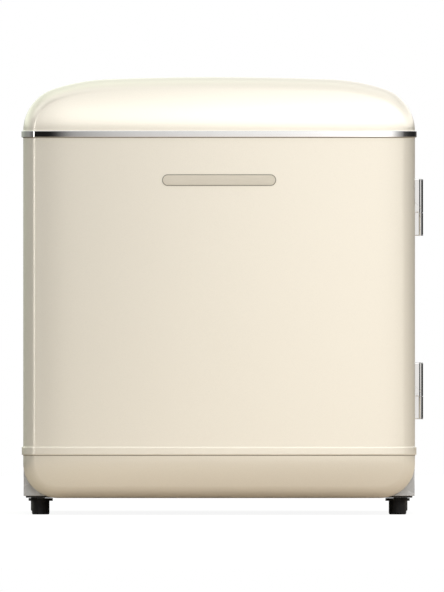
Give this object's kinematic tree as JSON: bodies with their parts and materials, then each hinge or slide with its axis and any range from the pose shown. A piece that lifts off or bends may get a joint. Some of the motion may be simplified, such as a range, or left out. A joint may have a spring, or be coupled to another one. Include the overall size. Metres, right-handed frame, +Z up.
{
  "type": "mini fridge",
  "caption": "Retro domed mini fridge: full-height cream door on exposed side hinges, ice box with flap, wire shelf, door racks, rear condenser and compressor.",
  "frame": {"origin": "on the floor, under the middle of the whole appliance's box with the door closed", "axes": "+Z up; -Y out of the front, towards the user; +X to the user's right, the hinge side"},
  "size_m": [0.4514, 0.502, 0.492],
  "materials": {
    "cream_paint": "gloss",
    "polished_chrome": "polished",
    "galvanised_sheet": "satin",
    "black_plate": "satin",
    "white_liner": "satin",
    "polyurethane_foam": "matte",
    "black_nylon": "satin",
    "zinc_steel": "satin",
    "gasket_rubber": "matte",
    "black_rubber": "matte",
    "taupe_enamel": "satin",
    "cold_aluminium": "satin",
    "frosty_plastic": "gloss",
    "tray_plastic": "gloss",
    "rack_plastic": "gloss",
    "shelf_wire": "gloss",
    "knob_plastic": "satin",
    "condenser_black": "satin",
    "pot_black": "gloss",
    "copper_pipe": "satin",
    "grey_plastic": "matte"
  },
  "bodies": {
    "cabinet": {"outer_shell": "cream_paint", "front_frame": "cream_paint", "base_pan": "galvanised_sheet", "foot_rail": "black_plate", "inner_liner": "white_liner", "insulation_foam": "polyurethane_foam", "bay_panel": "galvanised_sheet", "back_panel": "galvanised_sheet", "back_screws": "zinc_steel", "rear_feet": "black_nylon", "upper_hinge_cabinet_leaf": "polished_chrome", "upper_hinge_pin": "polished_chrome", "lower_hinge_cabinet_leaf": "polished_chrome", "lower_hinge_pin": "polished_chrome", "cabinet_hinge_screws": "polished_chrome", "ice_box": "cold_aluminium", "ice_box_hangers": "white_liner", "freezer_collar": "white_liner", "tray_runners": "white_liner", "thermostat_housing": "white_liner", "condenser_coil": "condenser_black", "condenser_wires": "condenser_black", "condenser_clips": "black_nylon", "wall_spacers": "black_nylon", "compressor_pot": "pot_black", "compressor_feet": "black_plate", "compressor_grommets": "black_rubber", "compressor_bolts": "zinc_steel", "relay_cover": "black_nylon", "suction_pipe": "copper_pipe", "discharge_pipe": "copper_pipe", "filter_drier": "copper_pipe", "capillary_tube": "copper_pipe", "evaporating_pan": "grey_plastic", "drain_tube": "grey_plastic", "cord_gland": "black_rubber"},
    "door": {"door_skin": "cream_paint", "door_foam": "polyurethane_foam", "door_liner": "white_liner", "door_gasket": "gasket_rubber", "finger_pull": "cream_paint", "top_strip": "polished_chrome", "lower_band": "cream_paint", "badge_plate": "taupe_enamel", "upper_hinge_door_leaf": "polished_chrome", "lower_hinge_door_leaf": "polished_chrome", "door_hinge_screws": "polished_chrome"},
    "bottle_rack": {"bottle_rack": "rack_plastic", "bottle_rack_rail": "polished_chrome"},
    "small_rack": {"small_rack": "rack_plastic"},
    "freezer_flap": {"freezer_flap": "frosty_plastic"},
    "drip_tray": {"drip_tray": "tray_plastic"},
    "wire_shelf": {"shelf_frame": "shelf_wire", "shelf_wires": "shelf_wire"},
    "thermostat_knob": {"thermostat_knob": "knob_plastic"},
    "left_foot": {"front_foot_left": "black_nylon", "front_foot_stud_left": "zinc_steel"},
    "right_foot": {"front_foot_right": "black_nylon", "front_foot_stud_right": "zinc_steel"}
  },
  "joints": [
    {"name": "door_hinge", "type": "hinge", "parent": "cabinet", "child": "door", "pos_m": [0.22305, -0.183, 0.2424], "axis": [0, 0, 1], "range_deg": [0, 120]},
    {"name": "bottle_rack_lift", "type": "slide", "parent": "door", "child": "bottle_rack", "axis": [0, 0, 1], "range_m": [0, 0.016]},
    {"name": "small_rack_lift", "type": "slide", "parent": "door", "child": "small_rack", "axis": [0, 0, 1], "range_m": [0, 0.016]},
    {"name": "freezer_flap_hinge", "type": "hinge", "parent": "cabinet", "child": "freezer_flap", "pos_m": [-0.03875, -0.091, 0.413], "axis": [-1, 0, 0], "range_deg": [0, 85]},
    {"name": "drip_tray_slide", "type": "slide", "parent": "cabinet", "child": "drip_tray", "axis": [0, -1, 0], "range_m": [0, 0.07]},
    {"name": "wire_shelf_slide", "type": "slide", "parent": "cabinet", "child": "wire_shelf", "axis": [0, -1, 0], "range_m": [0, 0.035]},
    {"name": "thermostat_turn", "type": "hinge", "parent": "cabinet", "child": "thermostat_knob", "pos_m": [0.14425, -0.089, 0.389], "axis": [0, 1, 0], "range_deg": [0, 270]},
    {"name": "left_foot_screw", "type": "slide", "parent": "cabinet", "child": "left_foot", "axis": [0, 0, -1], "range_m": [0, 0.01]},
    {"name": "right_foot_screw", "type": "slide", "parent": "cabinet", "child": "right_foot", "axis": [0, 0, -1], "range_m": [0, 0.01]}
  ]
}
